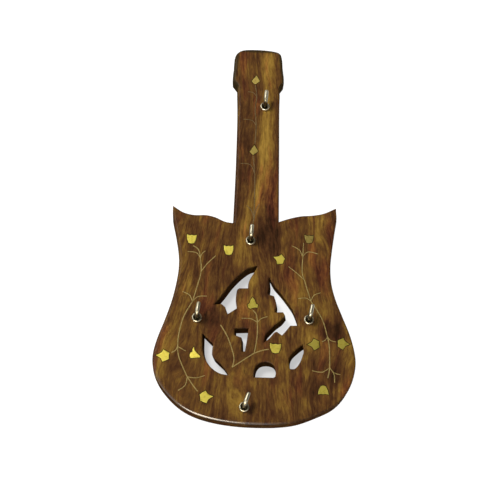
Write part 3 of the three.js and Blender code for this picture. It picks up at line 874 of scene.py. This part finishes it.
def make_plate_screw(node):
    """A countersunk wood screw with a cross recess."""
    low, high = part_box(node)
    x, z = 0.0, (low.z + high.z) / 2
    head = high.x
    neck = high.y - 1.2 * MM
    profile = [(head * 0.96, high.y), (head, high.y - 0.06 * MM),
               (head, high.y - 0.14 * MM), (1.05 * MM, neck)]
    rings = [at_depth(circle(x, z, radius), depth) for radius, depth in profile]
    depth = high.y - 1.4 * MM
    while depth > low.y + 1.2 * MM:
        points = []
        for k in range(32):
            angle = 2 * math.pi * k / 32
            radius = PLATE_SCREW_THREAD * threaded(depth, neck, low.y, angle)
            across, up = radius * math.cos(angle), radius * math.sin(angle)
            points.append(Vector((x + across, depth, z + up)))
        rings.append(points)
        depth -= THREAD_PITCH / THREAD_STEPS
    rings.append(at_depth(circle(x, z, 0.45 * MM), low.y + 0.5 * MM))
    rings.append(at_depth(circle(x, z, 0.04 * MM), low.y))
    screw = solid(node + "_head", [rings], MATERIALS["zinc_steel"])
    reach, half_slot, slot_depth = 1.3 * MM, 0.22 * MM, 0.7 * MM
    corners = ((-reach, -half_slot), (reach, -half_slot), (reach, half_slot), (-reach, half_slot))
    for tilt in (0, math.pi / 2):
        cos, sin = math.cos(tilt), math.sin(tilt)
        bar = [Vector((x + cos * a - sin * b, z + sin * a + cos * b)) for a, b in corners]
        cut(screw, [prism(bar, high.y + CUT_OVER, high.y - slot_depth)])
    show(even_normals(screw), "zinc_steel", ROOT, node)


make_plate()
for node in PLATE_SCREWS:
    make_plate_screw(node)


# ======================================================================================
# Wall, floor, light and camera
# ======================================================================================
def plain_white(name, one_sided=False, glow=0.0, grey=0.72):
    """A matt white that may glow, and that may be clear when seen from behind."""
    s = Shader(name, Roughness=0.9, Specular_IOR_Level=0.0)
    s.set("Base Color", (grey, grey, grey, 1.0))
    s.set("Emission Color", (1.0, 1.0, 1.0, 1.0))
    s.set("Emission Strength", glow)
    if one_sided:
        clear = s.node("BsdfTransparent").outputs[0]
        behind = s.node("NewGeometry").outputs["Backfacing"]
        either = s.node("MixShader", {0: behind, 1: s.surface.outputs[0], 2: clear}).outputs[0]
        s.tree.links.new(either, s.tree.nodes["Material Output"].inputs["Surface"])
    return s.material


def flat_piece(name, loops, depth, material):
    """A flat stage piece that faces the front, with the later loops as holes."""
    bm = bmesh.new()
    edges = []
    for loop in loops:
        row = [bm.verts.new(point) for point in at_depth(loop, depth)]
        edges += [bm.edges.new((row[i - 1], row[i])) for i in range(len(row))]
    bmesh.ops.triangle_fill(bm, use_beauty=True, edges=edges)
    for face in bm.faces:
        if face.normal.y > 0:
            face.normal_flip()
    mesh = bpy.data.meshes.new(name)
    bm.to_mesh(mesh)
    bm.free()
    mesh.materials.append(material)
    linked(name, mesh)


wall_white = plain_white("wall_white", one_sided=True, glow=1.0, grey=0.15)
# The wall behind each opening glows dimmer than the wall round the board: painted light and shade, brightest
# behind the right opening
shaded_white = plain_white("wall_white_shaded", one_sided=True, glow=0.50, grey=0.25)
lit_white = plain_white("wall_white_lit", one_sided=True, glow=0.68, grey=0.25)
wall_edge = [Vector((-WALL_HALF, FLOOR_Z)), Vector((WALL_HALF, FLOOR_Z)),
             Vector((WALL_HALF, WALL_HALF)), Vector((-WALL_HALF, WALL_HALF))]
wall_hole = inset(refine(outer_loop, WALL_STEP), WALL_UNDER_BOARD)
flat_piece("wall", [wall_edge, wall_hole], WALL_DEPTH, wall_white)
for number, loop in enumerate(opening_loops):
    white = lit_white if number == RIGHT_OPENING else shaded_white
    edge = inset(refine(loop, WALL_STEP), WALL_PAST_OPENING)
    flat_piece(f"wall_in_opening_{number}", [edge], WALL_DEPTH, white)

floor_mesh = bpy.data.meshes.new("floor")
floor_corners = [(-FLOOR_HALF, -FLOOR_HALF, FLOOR_Z), (FLOOR_HALF, -FLOOR_HALF, FLOOR_Z),
                 (FLOOR_HALF, FLOOR_HALF, FLOOR_Z), (-FLOOR_HALF, FLOOR_HALF, FLOOR_Z)]
floor_mesh.from_pydata(floor_corners, [], [(0, 1, 2, 3)])
floor_mesh.materials.append(plain_white("floor_white"))
floor = linked("floor", floor_mesh)


def soft_light(name, direction, distance, size, radiance, colour, lights=True, shines=True):
    """A soft box of a given width, height and brightness that faces the object. It lights matt
    surfaces, shines in glossy ones, or both."""
    data = bpy.data.lights.new(name, "AREA")
    data.shape = "RECTANGLE"
    data.size, data.size_y = size
    data.energy = radiance * math.pi * data.size * data.size_y
    data.color = colour
    made = linked(name, data)
    made.location = AIM + Vector(direction).normalized() * distance
    made.rotation_euler = Vector(direction).to_track_quat("Z", "Y").to_euler()
    made.visible_diffuse = lights
    made.visible_glossy = shines


soft_light("key_upper_left", (-0.38, -0.88, 0.28), 2.0, (0.45, 0.45), 62.0, (1.0, 0.98, 0.95),
           shines=False)
soft_light("panel_upper_left", (-0.55, -0.77, 0.33), 2.0, (1.0, 1.6), 3.3, (1.0, 0.98, 0.93),
           lights=False)
soft_light("window_below", (-0.33, -0.40, -0.84), 1.0, (0.6, 0.55), 12.5, (1.0, 0.90, 0.72),
           lights=False)
soft_light("back_fill", (0.5, 1.0, 0.6), 1.8, (1.0, 1.0), 8.0, (1.0, 1.0, 1.0))

# The room is brighter on the left and above, so rounded gloss has a bright and a dark side.
world = bpy.data.worlds.new("studio")
bpy.context.scene.world = world
world.use_nodes = True
tree = world.node_tree
around = tree.nodes["Background"]
direction = tree.nodes.new("ShaderNodeTexCoord").outputs["Generated"]
towards_light = tree.nodes.new("ShaderNodeVectorMath")
towards_light.operation = "DOT_PRODUCT"
towards_light.inputs[1].default_value = (-0.88, 0.0, 0.47)
tree.links.new(direction, towards_light.inputs[0])
brightness = tree.nodes.new("ShaderNodeMapRange")
brightness.inputs["From Min"].default_value = -1.0
brightness.inputs["To Min"].default_value = 0.01
brightness.inputs["To Max"].default_value = 0.50
tree.links.new(towards_light.outputs["Value"], brightness.inputs["Value"])
tree.links.new(brightness.outputs[0], around.inputs["Strength"])
around.inputs["Color"].default_value = (1.0, 0.99, 0.95, 1.0)
# The camera sees plain white behind everything.
seen = tree.nodes.new("ShaderNodeBackground")
seen.inputs["Color"].default_value = (1.0, 1.0, 1.0, 1.0)
either = tree.nodes.new("ShaderNodeMixShader")
tree.links.new(tree.nodes.new("ShaderNodeLightPath").outputs["Is Camera Ray"], either.inputs[0])
tree.links.new(around.outputs[0], either.inputs[1])
tree.links.new(seen.outputs[0], either.inputs[2])
tree.links.new(either.outputs[0], tree.nodes["World Output"].inputs["Surface"])
bpy.context.scene.view_settings.view_transform = "Standard"

camera_data = bpy.data.cameras.new("camera")
camera_data.lens = LENS
camera_data.sensor_width = 36.0
camera_data.clip_start = 0.01
camera_data.clip_end = 20.0
camera = linked("camera", camera_data)
outward = Vector((
    math.sin(VIEW_AZIMUTH) * math.cos(VIEW_ELEVATION),
    -math.cos(VIEW_AZIMUTH) * math.cos(VIEW_ELEVATION),
    math.sin(VIEW_ELEVATION),
))
facing = outward.to_track_quat("Z", "Y").to_matrix().to_4x4()
level = Matrix.Translation(AIM + outward * VIEW_DISTANCE) @ facing
camera.matrix_world = level @ Matrix.Rotation(VIEW_ROLL, 4, "Z")
bpy.context.scene.camera = camera
